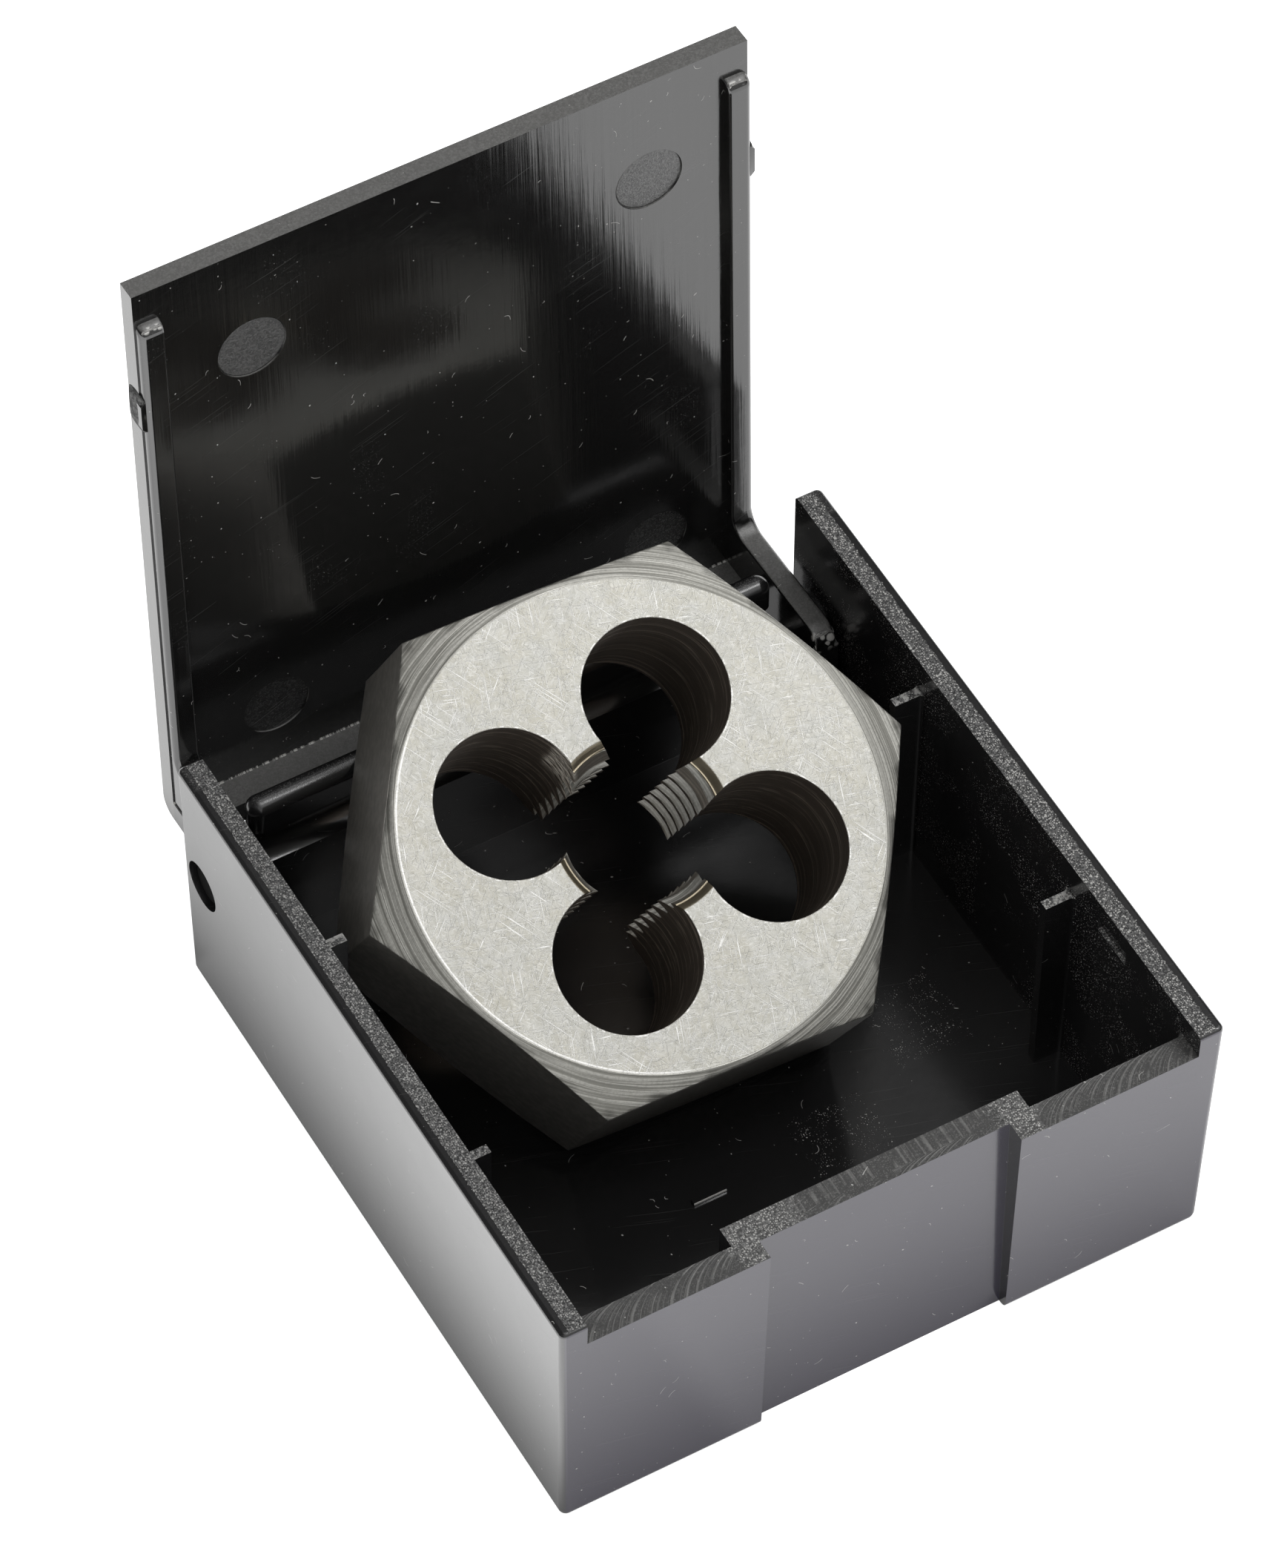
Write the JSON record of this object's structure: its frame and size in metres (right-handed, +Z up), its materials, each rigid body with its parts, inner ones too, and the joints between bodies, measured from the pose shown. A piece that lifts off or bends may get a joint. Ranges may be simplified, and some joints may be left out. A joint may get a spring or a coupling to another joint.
{
  "type": "hexagon die nut in case",
  "caption": "Hexagon die nut with an internal cutting thread and round chip holes, kept in a hinged plastic case.",
  "frame": {"origin": "centre of the case's underside", "axes": "+Z up out of the open case, +Y towards the hinge, +X to the right seen from the front"},
  "size_m": [0.0518, 0.064, 0.0635],
  "materials": {
    "case_plastic": "glossy moulded black plastic with eroded rims",
    "lid_plastic": "glossy moulded black plastic with fine scratches",
    "die_steel": "ground faces, turned corners and dark flats"
  },
  "bodies": {
    "case": {"case_base": "case_plastic"},
    "lid": {"case_lid": "lid_plastic"},
    "nut": {"die_nut": "die_steel"}
  },
  "joints": [
    {"name": "lid_hinge", "type": "hinge", "parent": "case", "child": "lid", "pos_m": [0, 0.02425, 0.01255], "axis": [1, 0, 0], "range_deg": [0, 92.75]},
    {"name": "nut_lift_out", "type": "hinge", "parent": "case", "child": "nut", "pos_m": [0, -0.0272, 0.0023], "axis": [1, 0, 0], "range_deg": [0, 152.2]}
  ],
  "couplings": [
    {"joint": "nut_lift_out", "follows": "lid_hinge", "ratio": 1.6407}
  ]
}
